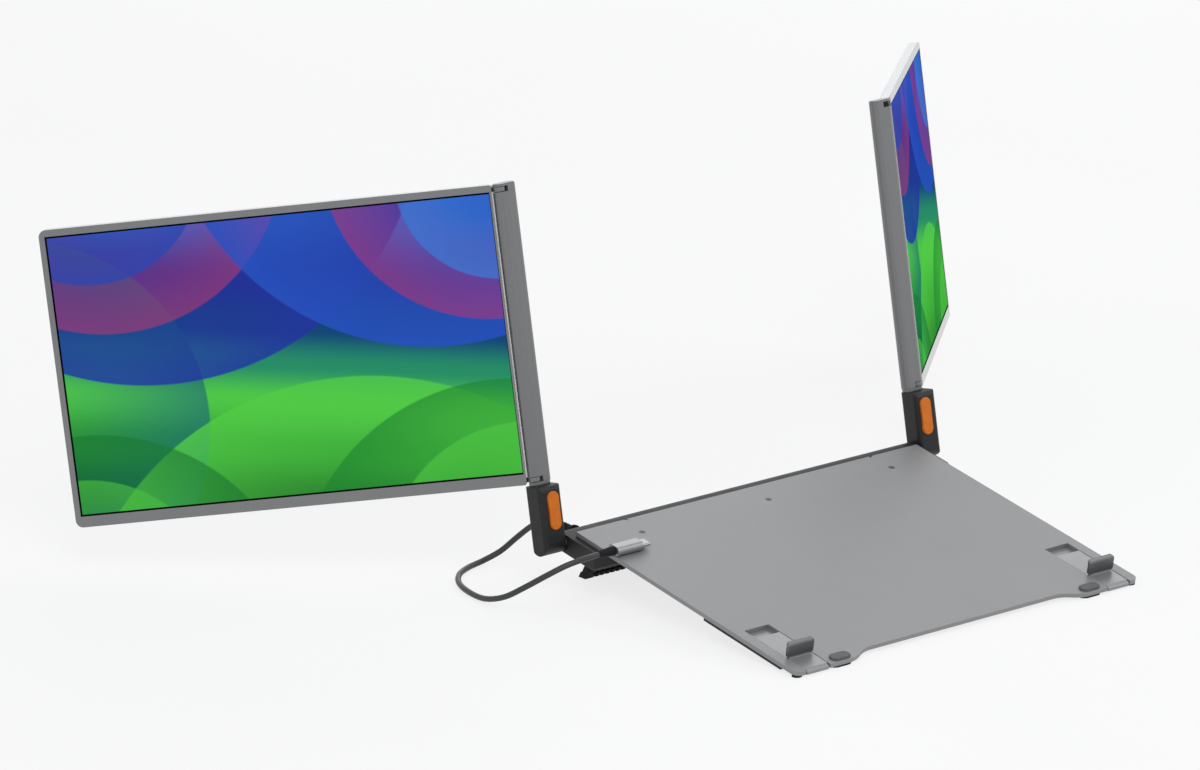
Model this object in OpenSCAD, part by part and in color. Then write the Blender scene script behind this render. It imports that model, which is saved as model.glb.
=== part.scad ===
// Screen extender: two hinged displays on columns at the rear corners of a tilted stand.
// Millimetres. X to the right, Y to the back, Z up, table at Z = 0, origin under the middle.

/* [Stand] */
// Tilt of the plate, rear edge raised, in degrees
plate_tilt = 9.2; // [6:0.1:11]
// Width of the plate
plate_w = 301; // [290:1:308]
// Thickness of the plate
plate_t = 3; // [2.4:0.1:3.6]
// Reach of the front lobes ahead of the bay's front edge
lobe_reach = 21.8; // [20:0.2:26]
// Depth of the front edge between the lobes
waist_step = 8; // [4:0.5:9]
// Corner radius of the plate
plate_r = 6; // [3:0.5:9]

/* [Lips] */
// Distance of each lip's middle from the plate's side
lip_x = 18.5; // [16.5:0.5:24.5]
// Width of a lip's tray
tray_w = 20; // [16:0.5:22]
// Height of a lip above the plate
lip_h = 11.2; // [9:0.2:14]
// Width of a lip's wall
lip_w = 22; // [18:0.5:24]
// Thickness of a lip's wall
lip_t = 2; // [1.6:0.1:2.4]

/* [Rear beam] */
// Half width of the beam and of the bay between the columns
bay_half = 156; // [156:0.5:160]
// Height of the beam under the plate
beam_h = 13; // [12:0.5:15]
// Front of the beam, behind the bay's front edge
beam_y = 181; // [175:1:185]
// Tilt pivot, behind the bay's front edge
pivot_y = 217; // [214:0.5:220]

/* [Kickstand] */
// Half width of the leg
leg_half = 130; // [126:1:136]
// Lean of the leg behind the plate's normal, in degrees
leg_lean = 20; // [14:1:24]
// Thickness of the leg
leg_t = 3; // [2.6:0.1:3.4]

/* [Columns] */
// Lean of the columns behind the plate's normal, in degrees
column_lean = 20; // [10:1:25]
// Width of a column
column_w = 16.6; // [16:0.2:20]
// Thickness of a column
column_t = 8.5; // [8:0.1:9.5]
// Top of the columns and screens above the tilt pivot
column_top = 245; // [225:1:260]

/* [Screens] */
// Swing of the screens behind the columns' plane, in degrees
swing_back = 45.5; // [0:0.5:60]
// Width of the picture
picture_w = 300.5; // [270:0.5:310]
// Height of the picture
picture_h = 188.5; // [170:0.5:202]
// Thickness of a screen
screen_t = 8; // [7.4:0.1:8.4]
// Width of the bezel at the outer side
bezel_side = 5.1; // [4:0.1:9]
// Width of the bezel at the top
bezel_top = 5.9; // [5.2:0.1:9]
// Corner radius of a screen
screen_r = 5; // [3:0.5:7]

/* [Hidden] */
$fn = 32;
fit = 0.05;
gap = 0.3;

// frames: the plate stands on its front feet, the columns turn about the tilt pivot
foot_gap = 1.35;
plate_z = foot_gap + lobe_reach * sin(plate_tilt) + plate_t * cos(plate_tilt);
beam_r = beam_h / 2;
pivot_z = -plate_t - beam_r;
lean = column_lean - plate_tilt;

// columns: the outer edge is a half round about the swing axis
column_x = bay_half + 0.6;
column_y = 0;
column_r = 3.8;
round_r = column_t / 2;
swing_x = column_x + column_w - round_r;
swing_y = column_y + round_r;
column_wall = 1.3;
collar_z = 41;
column_z = collar_z + 2;
notch_x = column_x + 8;
notch_h = 3.8;
arm_h = 3;
cap_z = column_top - 1.6 - notch_h;
swing_pin_r = 1.5;

// housings
housing_x = bay_half + 0.6;
housing_w = 18.4;
housing_y = -8;
housing_d = 16.5;
housing_z = -6.6;
housing_top = collar_z - 0.6;
tilt_pin_r = 3;
button_x = housing_x + 8;
button_z = 23.5;
button_w = 9.6;
button_h = 26.4;
button_out = 1;
button_back = housing_y + 4.6;
button_travel = 2.5;
pocket_back = -0.3;
tongue_w = 12.5;
tongue_y = 1.2;
tongue_t = 2.2;
tongue_z = 14.3;
latch_r = 2.9;
neck_r = 1.25;

// screens, measured from the swing axis
screen_x = round_r + 0.5;
bezel_hinge = 1.8;
screen_w = bezel_hinge + picture_w + bezel_side;
screen_z = column_z - 1;
screen_h = column_top - screen_z;
picture_x = screen_x + bezel_hinge;
picture_z = column_top - bezel_top - picture_h;
border = 1.2;
border_hinge = 0.45;
hinge_r = 1.2;
skin = 1.3;
front_t = 1;
glass_in = 0.4;
glass_t = 1.6;
guide_t = 2.4;
half_t = screen_t / 2;
glass_y = -half_t + glass_in;
guide_y = glass_y + glass_t;
board_y = guide_y + guide_t;
back_y = half_t - 1.2;
back_step = 1;
arm_len = 26;
driver_x = 100;
driver_z = 18;
driver_w = 108;
driver_h = 30;

// lips and their guides
lip_mid = plate_w / 2 - lip_x;
strip_w = tray_w + 4;
strip_z = -plate_t - 1.5;
guide_z = strip_z - 1.4;
nose_len = 3;
nose_r = 1.5;
nose_z = -0.2 - nose_len + 1;
wall_y = -3;
pad_t = 0.6;
tray_front = nose_len - lobe_reach;
tray_back = 30;
slot_half = tray_w / 2 + 0.4;
slot_back = 42;
strip_front = -8;
strip_back = 60;
channel_back = 71;
guide_half = strip_w / 2 + 5;
guide_screw_xs = [-strip_w / 2 - 2.4, strip_w / 2 + 2.4];
guide_screw_ys = [6, strip_back - 4];
window_ys = [12, 38];
window_w = 14;

// kickstand
leg_y = 210;
knuckle_r = 2.4;
leg_pin_r = 1.1;
leg_z = -plate_t - beam_h - knuckle_r - 0.5;
leg_rise = plate_z + leg_y * sin(plate_tilt) + leg_z * cos(plate_tilt);
leg_len = leg_rise / cos(plate_tilt + leg_lean);
shoe_in = 2.2;
shoe_h = 5;
knuckle_xs = [-110, 0, 110];
knuckle_w = 24;

// beam inside
cavity_y = beam_y + 3;
cavity_back = 205.5;
cavity_half = bay_half - 9;
beam_roof = -plate_t - 2;
cover_t = 1.8;
boss_in = 18;
boss_xs = [boss_in - bay_half, 0, bay_half - boss_in];
boss_ys = [188.5, 201];
post_xs = [-52, 52];
board_z = beam_roof - 2.4;
board_half = post_xs[1] + 8;
board_y0 = cavity_y + 3;
board_y1 = cavity_back - 2.5;

// pads and feet on the front lobes
lobe_x = 106;
curve_span = 26;
pad_x = 109.6;
pad_y = 5.2 - lobe_reach;
pad_w = 8.6;
pad_len = 16;
foot_w = 9;
foot_len = 17;
corner_foot_r = 3.4;

// middle of the whole outline along Y, so that the origin is under the middle
corner_run = screen_x + screen_w - screen_r;
corner_rise = column_top - screen_r;
lean_run = sin(swing_back) * cos(lean);
pivot_run = pivot_y * cos(plate_tilt) - pivot_z * sin(plate_tilt);
rear_end = pivot_run + (swing_y + (half_t - back_step) * cos(swing_back)) * cos(lean)
    + corner_run * lean_run + corner_rise * sin(lean)
    + screen_r * sqrt(pow(lean_run, 2) + pow(sin(lean), 2));
front_end = -lobe_reach * cos(plate_tilt);
mid_y = (front_end + rear_end) / 2;

// cord: from the gland behind the beam down to the table and back onto the plate
cord_d = 4;
gland_x = 16 - bay_half;
gland_back = 236;
plug_r = 3.3;
plug_w = 11;
plug_len = 21.5;
plug_y = 170;
plug_x = 0.5 - plate_w / 2;
relief_len = 13;
cord_sides = 8;
cord_steps = 4;
floor_z = cord_d / 2 + 0.4;
// points of its route on the stand: X, then Y and Z from the plate's origin before the tilt shift
gland_end = level(gland_back, pivot_z);
plug_end = level(plug_y, plug_r);
route = [
    [gland_x, gland_end[0], gland_end[1]],
    [-140, 9, 37.2] + [0, gland_end[0], 0],
    [-140.5, 20, 34.5] + [0, gland_end[0], 0],
    [-143, 30.5, 28] + [0, gland_end[0], 0],
    [-148, 40, 18.5] + [0, gland_end[0], 0],
    [-156, 47, 9] + [0, gland_end[0], 0],
    [-168, 51, 3.6] + [0, gland_end[0], 0],
    [-182, 49, floor_z] + [0, gland_end[0], 0],
    [-196, 41, floor_z] + [0, gland_end[0], 0],
    [-207, 27, floor_z] + [0, gland_end[0], 0],
    [-213, 9, floor_z] + [0, gland_end[0], 0],
    [-215, -11, 3.4] + [0, gland_end[0], 0],
    [-213, 38, 9] + [0, plug_end[0], 0],
    [-207, 24, 18] + [0, plug_end[0], 0],
    [-198, 12, 27.5] + [0, plug_end[0], 0],
    [-187, 4, 34.5] + [0, plug_end[0], 0],
    [-175, 0.5, 37.4] + [0, plug_end[0], 0],
    [plug_x - relief_len, plug_end[0], plug_end[1]]
];

// a point of the plate's frame, as Y and Z over the table before the shift to the middle
function level(y, z) = [
    y * cos(plate_tilt) - z * sin(plate_tilt) - mid_y,
    plate_z + y * sin(plate_tilt) + z * cos(plate_tilt)
];

module in_plate() {
    translate([0, -mid_y, plate_z])
        rotate([plate_tilt, 0, 0])
            children();
}

module in_tilt() {
    in_plate()
        translate([0, pivot_y, pivot_z])
            rotate([-column_lean, 0, 0])
                children();
}

module in_swing() {
    in_tilt()
        translate([swing_x, swing_y, 0])
            rotate([0, 0, swing_back])
                children();
}

module in_leg() {
    in_plate()
        translate([0, leg_y, leg_z])
            rotate([leg_lean, 0, 0])
                children();
}

// side 1 is the right, side -1 the left
module side(s) {
    mirror([s < 0 ? 1 : 0, 0, 0])
        children();
}

module both() {
    side(1)
        children();
    side(-1)
        children();
}

// rectangle from its lower left corner, with round corners
module plate_2d(w, h, r) {
    translate([r, 0])
        square([w - 2 * r, h]);
    translate([0, r])
        square([w, h - 2 * r]);
    for (x = [r, w - r], y = [r, h - r])
        translate([x, y])
            circle(r);
}

// slot shape with round ends, long way along Y, centred
module pill_2d(w, h) {
    for (s = [-1, 1])
        translate([0, s * (h - w) / 2])
            circle(d = w);
    square([w, h - w], center = true);
}

// a box from one corner to the other
module block(a, b) {
    translate(a)
        cube(b - a);
}

// half of the plate's outline: lobe, S-curve of two tangent arcs to the waist, straight side
module plate_half_2d() {
    arc_r = (pow(curve_span, 2) + pow(waist_step, 2)) / (4 * waist_step);
    waist_y = waist_step - lobe_reach;
    curve_x = lobe_x - curve_span;
    back = pivot_y - 8;
    difference() {
        union() {
            translate([lobe_x, -lobe_reach])
                plate_2d(plate_w / 2 - lobe_x, back + lobe_reach, plate_r);
            translate([lobe_x, -lobe_reach])
                square([plate_r + 1, waist_step + 2]);
            intersection() {
                translate([lobe_x, arc_r - lobe_reach])
                    circle(arc_r, $fn = 120);
                translate([curve_x + curve_span / 2, -lobe_reach])
                    square([curve_span / 2 + 1, waist_step + 1]);
            }
            translate([curve_x, waist_y - waist_step / 2])
                square([curve_span / 2, waist_step]);
            translate([0, waist_y])
                square([lobe_x + 1, back - waist_y]);
            translate([plate_w / 2 - plate_r - 1, back - plate_r - 1])
                square(plate_r + 1);
        }
        translate([curve_x, waist_y - arc_r])
            circle(arc_r, $fn = 120);
    }
}

module base_plate() {
    color("silver")
        in_plate()
            difference() {
                translate([0, 0, -plate_t])
                    linear_extrude(plate_t)
                        both_2d()
                            plate_half_2d();
                both() {
                    block([lip_mid - slot_half, -50, -9], [lip_mid + slot_half, slot_back, 9]);
                    for (x = guide_screw_xs, y = guide_screw_ys)
                        translate([lip_mid + x, y, -9])
                            cylinder(r = 1, h = 9 - 0.8, $fn = 20);
                }
                for (x = boss_xs)
                    translate([x * 0.8, cavity_y + 4.5, -9])
                        cylinder(r = 1.2, h = 18, $fn = 20);
                for (x = boss_xs)
                    translate([x * 0.8, cavity_y + 4.5, -1.25])
                        cylinder(r1 = 1.25, r2 = 2.6, h = 1.3, $fn = 20);
            }
}

module both_2d() {
    children();
    mirror([1, 0])
        children();
}

// stadium pads on top of the lobes, with a stepped edge
module top_pads() {
    color("dimgray")
        in_plate()
            both()
                translate([pad_x, pad_y, 0]) {
                    linear_extrude(1)
                        rotate(90)
                            pill_2d(pad_w, pad_len);
                    translate([0, 0, 1])
                        linear_extrude(0.5)
                            rotate(90)
                                pill_2d(pad_w - 1, pad_len - 1);
                }
}

// wedge feet under the lobes and the front corners, cut level with the table
module front_feet() {
    color("black")
        intersection() {
            in_plate()
                both()
                    translate([0, -lobe_reach, -plate_t - 6])
                        linear_extrude(6) {
                            translate([pad_x, foot_w / 2 + 0.1])
                                rotate(90)
                                    pill_2d(foot_w, foot_len);
                            translate([plate_w / 2 - 4.2, 4.2])
                                circle(corner_foot_r);
                        }
            block([-200, -mid_y - 60, 0], [200, -mid_y + 60, 40]);
        }
}

module slide_guides() {
    color("dimgray")
        in_plate()
            both()
                translate([lip_mid, 0, 0])
                    difference() {
                        block([-guide_half, -4, guide_z], [guide_half, channel_back + 4, -plate_t]);
                        block([-strip_w / 2 - fit, -10, strip_z - fit],
                            [strip_w / 2 + fit, channel_back, 9]);
                        for (y = window_ys)
                            block([-window_w / 2, y, guide_z - 1], [window_w / 2, y + window_w, 9]);
                        for (x = guide_screw_xs, y = guide_screw_ys)
                            translate([x, y, guide_z - 1]) {
                                cylinder(r = 1, h = 9, $fn = 20);
                                cylinder(r = 1.9 + fit, h = 2.2, $fn = 20);
                            }
                    }
}

module guide_screws() {
    color("gray")
        in_plate()
            both()
                for (x = guide_screw_xs, y = guide_screw_ys)
                    translate([lip_mid + x, y, guide_z])
                        screw(1.9, 1.2, 1, -1 - guide_z);
}

// a screw pointing up, with its head's flat at Z = 0 and a cross recess
module screw(head_r, head_h, shank_r, len) {
    difference() {
        union() {
            cylinder(r = head_r, h = head_h, $fn = 20);
            cylinder(r = shank_r, h = len, $fn = 20);
        }
        for (a = [0, 90])
            rotate(a)
                block([-head_r * 0.6, -0.25, -1], [head_r * 0.6, 0.25, head_h * 0.5]);
    }
}

// a lip on its tray, and the wider strip below that the guide holds against the plate
module lip_part() {
    in_plate()
        translate([lip_mid, 0, 0]) {
            block([-tray_w / 2, tray_front, -plate_t + 0.05], [tray_w / 2, tray_back, -0.2]);
            along_x(0.8 - tray_w / 2, tray_w / 2 - 0.8)
                nose_2d();
            block([-strip_w / 2, strip_front, strip_z], [strip_w / 2, strip_back, -plate_t - fit]);
            block([-tray_w / 2 + 1, strip_front + 1, -plate_t - 0.5],
                [tray_w / 2 - 1, tray_back - 1, -plate_t + 0.5]);
            block([-tray_w / 2 + 1, wall_y, -1], [tray_w / 2 - 1, wall_y + lip_t + pad_t, 0.5]);
            intersection() {
                along_x(-lip_w / 2, lip_w / 2)
                    lip_2d();
                rotate([90, 0, 0])
                    translate([-lip_w / 2, 0.2, -5])
                        linear_extrude(15)
                            plate_2d(lip_w, lip_h - 0.2, 2.5);
            }
        }
}

// nose of a tray from the side: a slope from the top edge into a round front
module nose_2d() {
    nose_y = nose_r - lobe_reach;
    run = nose_len - nose_r;
    rise = -0.2 - nose_z;
    slope = atan2(rise, run) + acos(nose_r / norm([run, rise]));
    translate([nose_y, nose_z])
        circle(nose_r, $fn = 48);
    polygon([[tray_front + 0.5, -0.2], [tray_front, -0.2],
        [nose_y + nose_r * cos(slope), nose_z + nose_r * sin(slope)],
        [nose_y, nose_z], [tray_front + 0.5, nose_z]]);
    translate([-lobe_reach, nose_z - 1.2])
        square([nose_len + 0.5, 1.2]);
}

// wall of a lip from the side, with its top curled back over the pad
module lip_2d() {
    curl_r = lip_t + pad_t;
    curl_z = lip_h - curl_r;
    translate([wall_y, 0])
        square([lip_t, curl_z]);
    intersection() {
        translate([wall_y + curl_r, curl_z])
            difference() {
                circle(curl_r, $fn = 48);
                circle(pad_t, $fn = 48);
            }
        translate([wall_y - 1, curl_z - 0.01])
            square([curl_r + 1, curl_r + 1]);
    }
}

module lip_pad_part() {
    in_plate()
        translate([lip_mid, wall_y + lip_t, 0.6])
            rotate([90, 0, 0])
                translate([2 - lip_w / 2, 0, -pad_t])
                    linear_extrude(pad_t)
                        plate_2d(lip_w - 4, lip_h - 0.6 - lip_t - pad_t - 0.1, 1.5);
}

// beam profile along X: flat front, rear half round about the tilt pivot
module beam_2d() {
    translate([beam_y + 2, -plate_t - beam_h])
        square([pivot_y - beam_y - 2, beam_h]);
    translate([beam_y, -plate_t - beam_h + 2])
        square([4, beam_h - 2]);
    translate([beam_y + 2, -plate_t - beam_h + 2])
        circle(2);
    translate([pivot_y, pivot_z])
        circle(beam_r);
}

module along_x(x0, x1) {
    translate([x0, 0, 0])
        rotate([90, 0, 90])
            linear_extrude(x1 - x0)
                children();
}

module rear_beam() {
    color("#2f2f31")
        in_plate()
            difference() {
                union() {
                    difference() {
                        along_x(-bay_half, bay_half)
                            beam_2d();
                        block([-cavity_half, cavity_y, -plate_t - beam_h - 1],
                            [cavity_half, cavity_back, beam_roof]);
                    }
                    for (x = boss_xs, y = boss_ys)
                        translate([x, y, -plate_t - beam_h + cover_t])
                            cylinder(r = 3, h = beam_h - cover_t - 1);
                    for (x = boss_xs)
                        translate([x * 0.8, cavity_y + 4.5, beam_roof - 5])
                            cylinder(r = 2.8, h = 6);
                    for (x = post_xs, y = [191, 200])
                        translate([x, y, board_z])
                            cylinder(r = 1.8, h = 4);
                    for (x = [-99, -33, 33, 99])
                        block([x - 0.7, cavity_y - 1, beam_roof - 1.6],
                            [x + 0.7, cavity_back + 1, beam_roof + 1]);
                    for (x = knuckle_xs, s = [-1, 1])
                        along_x(x + s * (knuckle_w / 2 + gap + 3) - 3,
                            x + s * (knuckle_w / 2 + gap + 3) + 3)
                            lug_2d();
                }
                for (x = boss_xs, y = boss_ys)
                    translate([x, y, -plate_t - beam_h])
                        cylinder(r = 1, h = 8, $fn = 20);
                for (x = boss_xs)
                    translate([x * 0.8, cavity_y + 4.5, beam_roof - 4])
                        cylinder(r = 1.2, h = 9, $fn = 20);
                for (x = knuckle_xs)
                    along_x(x - knuckle_w / 2 - 6, x + knuckle_w / 2 + 6)
                        translate([leg_y, leg_z])
                            circle(leg_pin_r, $fn = 20);
                both()
                    along_x(cavity_half - 2, bay_half + 1)
                        translate([pivot_y, pivot_z])
                            circle(tilt_pin_r);
                translate([gland_x, cavity_back - 2, pivot_z])
                    rotate([-90, 0, 0])
                        cylinder(r = 4.2, h = 30);
            }
}

// lug that holds a leg pin under the beam
module lug_2d() {
    translate([leg_y, leg_z])
        circle(knuckle_r);
    translate([leg_y - knuckle_r, leg_z])
        square([2 * knuckle_r, 2 * knuckle_r]);
}

module beam_cover() {
    color("#3a3a3c")
        in_plate()
            difference() {
                block([-cavity_half + 0.15, cavity_y + 0.15, -plate_t - beam_h],
                    [cavity_half - 0.15, cavity_back - 0.15, -plate_t - beam_h + cover_t]);
                for (x = boss_xs, y = boss_ys)
                    translate([x, y, -plate_t - beam_h - 1]) {
                        cylinder(r = 1 + fit, h = 9, $fn = 20);
                        cylinder(r = 2 + fit, h = 2, $fn = 20);
                    }
                for (x = [-80 : 10 : 80])
                    if (abs(x) > 25)
                        block([x - 1.5, cavity_y + 6, -40], [x + 1.5, cavity_back - 6, 0]);
            }
}

module cover_screws() {
    color("gray")
        in_plate()
            for (x = boss_xs, y = boss_ys)
                translate([x, y, -plate_t - beam_h])
                    screw(2, 1, 1, 7.5);
}

module plate_screws() {
    color("gray")
        in_plate()
            for (x = boss_xs)
                translate([x * 0.8, cavity_y + 4.5, 0])
                    mirror([0, 0, 1])
                        difference() {
                            union() {
                                cylinder(r1 = 2.5, r2 = 1.2, h = 1.2, $fn = 20);
                                cylinder(r = 1.2, h = plate_t + 5, $fn = 20);
                            }
                            for (a = [0, 90])
                                rotate(a)
                                    block([-1.4, -0.25, -1], [1.4, 0.25, 0.6]);
                        }
}

module hub_board() {
    color("darkgreen")
        in_plate() {
            difference() {
                block([-board_half, board_y0, board_z - 1.6], [board_half, board_y1, board_z]);
                for (x = [3 - board_half, board_half - 3], y = [board_y0 + 2.5, board_y1 - 2.5])
                    translate([x, y, -20])
                        cylinder(r = 1, h = 20, $fn = 20);
                for (y = boss_ys)
                    translate([0, y, -20])
                        cylinder(r = 3.4, h = 20);
            }
            for (x = [-36, -14, 30])
                block([x - 5, board_y0 + 3, board_z - 3], [x + 5, board_y1 - 3, board_z - 1]);
            block([10 - board_half, board_y0 + 1, board_z - 4.4],
                [18 - board_half, board_y0 + 9, board_z - 1]);
        }
}

module tilt_pins() {
    color("silver")
        in_plate()
            both()
                along_x(cavity_half + 0.5, housing_x + 14)
                    translate([pivot_y, pivot_z])
                        circle(tilt_pin_r);
}

module tilt_washers() {
    color("gray")
        in_plate()
            both()
                along_x(bay_half, bay_half + 0.5)
                    translate([pivot_y, pivot_z])
                        difference() {
                            circle(5.8);
                            circle(tilt_pin_r);
                        }
}

module leg_pins() {
    color("silver")
        in_plate()
            for (x = knuckle_xs)
                along_x(x - knuckle_w / 2 - 6, x + knuckle_w / 2 + 6)
                    translate([leg_y, leg_z])
                        circle(leg_pin_r, $fn = 20);
}

module cable_gland() {
    color("#1c1c1d")
        in_plate()
            translate([gland_x, 0, pivot_z])
                rotate([-90, 0, 0])
                    rotate_extrude()
                        polygon([[0, cavity_back - 1], [4.4, cavity_back - 1],
                            [4.4, cavity_back - 0.1], [4.2, cavity_back - 0.1],
                            [4.2, pivot_y + beam_r + 0.3], [5.6, pivot_y + beam_r + 0.3],
                            [5.2, pivot_y + beam_r + 2], [3.8, pivot_y + beam_r + 2.6],
                            [3.6, gland_back - 7], [3.1, gland_back - 6.6],
                            [3.4, gland_back - 4.4], [2.8, gland_back - 4],
                            [3.1, gland_back - 1.8], [2.6, gland_back],
                            [0, gland_back]]);
}

// route through its points with soft bends, as rings of a tube
function bend(a, b, c, d, u) = 0.5 * (2 * b + (c - a) * u + (2 * a - 5 * b + 4 * c - d) * u * u
    + (3 * b - a - 3 * c + d) * u * u * u);

function unit(v) = v / norm(v);

module cord_tube() {
    last = len(route) - 1;
    pts = [
        for (i = [0 : last - 1], k = [0 : cord_steps - 1])
            bend(route[max(i - 1, 0)], route[i], route[i + 1], route[min(i + 2, last)],
                k / cord_steps),
        route[last]
    ];
    n = len(pts) - 1;
    dirs = [for (i = [0 : n]) unit(pts[min(i + 1, n)] - pts[max(i - 1, 0)])];
    rings = [
        for (i = [0 : n])
            let (d = i == 0 ? [0, cos(plate_tilt), sin(plate_tilt)] : i == n ? [1, 0, 0] : dirs[i],
                a = unit(cross(d, [0.1, 0.15, 1])),
                b = cross(d, a))
            for (k = [0 : cord_sides - 1])
                pts[i] + cord_d / 2 * (a * cos(360 * k / cord_sides) + b * sin(360 * k / cord_sides))
    ];
    m = cord_sides;
    polyhedron(rings, concat(
        [[for (k = [0 : m - 1]) k]],
        [for (i = [0 : n - 1], k = [0 : m - 1])
            [i * m + k, (i + 1) * m + k, (i + 1) * m + (k + 1) % m, i * m + (k + 1) % m]],
        [[for (k = [m - 1 : -1 : 0]) n * m + k]]
    ), convexity = 8);
}

module usb_cord() {
    color("#333335")
        cord_tube();
}

// plug parts lie along X on the plate, measured from the shell's outer end
module at_plug() {
    in_plate()
        translate([plug_x, plug_y, plug_r])
            rotate([90, 0, 90])
                children();
}

module strain_relief() {
    color("#1c1c1d")
        at_plug()
            mirror([0, 0, 1])
                rotate_extrude()
                    polygon([[0, 0], [3.1, 0], [3.1, 2.6], [2.9, 2.8], [2.9, 3.4], [3, 3.6],
                        [2.9, 6], [2.7, 6.2], [2.7, 6.8], [2.8, 7], [2.7, 9.4], [2.5, 9.6],
                        [2.5, 10.2], [2.6, 10.4], [2.3, relief_len], [0, relief_len]]);
}

module plug_shell() {
    color("gray")
        at_plug()
            difference() {
                linear_extrude(plug_len)
                    rotate(90)
                        pill_2d(2 * plug_r, plug_w);
                translate([0, 0, plug_len - 1])
                    linear_extrude(2)
                        rotate(90)
                            pill_2d(2.4, 8.3);
            }
}

module plug_tip() {
    color("silver")
        at_plug()
            difference() {
                translate([0, 0, plug_len - 1])
                    linear_extrude(7.5)
                        rotate(90)
                            pill_2d(2.4, 8.3);
                translate([0, 0, plug_len + 1])
                    linear_extrude(9)
                        rotate(90)
                            pill_2d(1.6, 7.5);
            }
}

module kick_leg() {
    color("#9a9a9c")
        in_leg()
            difference() {
                union() {
                    translate([0, leg_t / 2, 0])
                        rotate([90, 0, 0])
                            linear_extrude(leg_t)
                                translate([-leg_half, shoe_in - leg_len])
                                    plate_2d(2 * leg_half, leg_len - shoe_in - 3.2, 2);
                    for (x = knuckle_xs)
                        along_x(x - knuckle_w / 2, x + knuckle_w / 2) {
                            circle(knuckle_r);
                            translate([-leg_t / 2, -6])
                                square([leg_t, 6]);
                        }
                    for (x = [-75, -35, 35, 75])
                        block([x - 8, -leg_t / 2 - 0.8, shoe_h + 1 - leg_len],
                            [x + 8, -leg_t / 2 + 0.1, -6]);
                }
                for (x = knuckle_xs)
                    along_x(x - knuckle_w, x + knuckle_w)
                        circle(leg_pin_r + fit, $fn = 20);
            }
}

// serrated rubber shoe over the leg's lower edge, with an ear at each end, level with the table
module kick_rubber() {
    shoe_t = leg_t + 2.4;
    shoe_half = leg_half + 2;
    color("black")
        intersection() {
            in_leg()
                difference() {
                    union() {
                        along_x(-shoe_half, shoe_half) {
                            translate([-shoe_t / 2, -leg_len - 5])
                                square([shoe_t, shoe_h + 5]);
                            translate([-shoe_t / 2, -leg_len - 5])
                                square([shoe_t + 1, 7.5]);
                        }
                        for (s = [-1, 1])
                            along_x(s * (shoe_half - 2.5) - 2.5, s * (shoe_half - 2.5) + 2.5) {
                                translate([-shoe_t / 2, -leg_len])
                                    square([shoe_t, shoe_h + 3]);
                                translate([0, shoe_h + 3 - leg_len])
                                    circle(shoe_t / 2);
                            }
                    }
                    block([-leg_half, -leg_t / 2, shoe_in - leg_len], [leg_half, leg_t / 2, 0]);
                    for (x = [6 - leg_half : 4.5 : leg_half - 6])
                        block([x - 0.9, -20, -leg_len - 9], [x + 0.9, 0.8 - shoe_t / 2, 20]);
                }
            block([-leg_half - 9, -mid_y, 0], [leg_half + 9, -mid_y + 400, 60]);
        }
}

// housing at the column's foot, with the tilt bore, the latch bore and the tongue's socket
module housing_part() {
    in_tilt()
        difference() {
            intersection() {
                translate([housing_x, housing_y, housing_z - 1])
                    linear_extrude(60)
                        plate_2d(housing_w, housing_d, 3.2);
                along_x(housing_x - 1, housing_x + housing_w + 1)
                    housing_side_2d();
            }
            along_x(housing_x - 1, housing_x + 15)
                circle(tilt_pin_r + fit);
            translate([button_x, housing_y - 1, button_z])
                rotate([-90, 0, 0])
                    linear_extrude(pocket_back - housing_y + 1)
                        pill_2d(button_w + 2 * gap, button_h + 2 * gap);
            translate([button_x, housing_y, button_z])
                rotate([-90, 0, 0])
                    cylinder(r = latch_r + 0.25, h = 14.4);
            block([button_x - tongue_w / 2 - fit, tongue_y - fit, tongue_z],
                [button_x + tongue_w / 2 + fit, tongue_y + tongue_t + fit, 60]);
        }
}

// side outline of a housing: round bottom, soft top front edge
module housing_side_2d() {
    end_r = housing_d / 2;
    top_r = 4;
    translate([housing_y + end_r, housing_z + end_r])
        circle(end_r, $fn = 48);
    translate([housing_y, housing_z + end_r])
        square([housing_d, housing_top - housing_z - end_r - top_r]);
    translate([housing_y + top_r, housing_top - top_r - 1])
        square([housing_d - top_r, top_r + 1]);
    translate([housing_y + top_r, housing_top - top_r])
        circle(top_r);
}

// a pill with a slight waist and a domed face
module button_part() {
    len = button_back - housing_y + button_out;
    waist_r = 60;
    in_tilt()
        translate([button_x, button_back, button_z])
            rotate([90, 0, 0])
                difference() {
                    union() {
                        linear_extrude(len - 0.5)
                            pill_2d(button_w, button_h);
                        translate([0, 0, len - 0.6])
                            linear_extrude(0.6)
                                pill_2d(button_w - 1, button_h - 1);
                    }
                    for (s = [-1, 1])
                        translate([s * (button_w / 2 + waist_r - 0.5), 0, -1])
                            cylinder(r = waist_r, h = 20, $fn = 96);
                    translate([0, 0, -1])
                        cylinder(r = neck_r, h = 3, $fn = 24);
                }
}

module latch_part() {
    in_tilt()
        translate([button_x, button_back - 2, button_z])
            rotate([-90, 0, 0]) {
                cylinder(r = neck_r, h = tongue_y + 0.2 - button_back + 2, $fn = 24);
                translate([0, 0, tongue_y + 0.1 - button_back + 2])
                    cylinder(r = latch_r, h = tongue_t - 0.2);
            }
}

// column outline in X and Y, drawn smaller by d all round
module column_2d(d = 0) {
    translate([column_x + column_r, column_y + d])
        square([swing_x - column_x - column_r, column_t - 2 * d]);
    translate([column_x + d, column_y + column_r])
        square([5, column_t - 2 * column_r]);
    for (y = [column_y + column_r, column_y + column_t - column_r])
        translate([column_x + column_r, y])
            circle(column_r - d);
    translate([swing_x, swing_y])
        circle(round_r - d);
}

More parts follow.
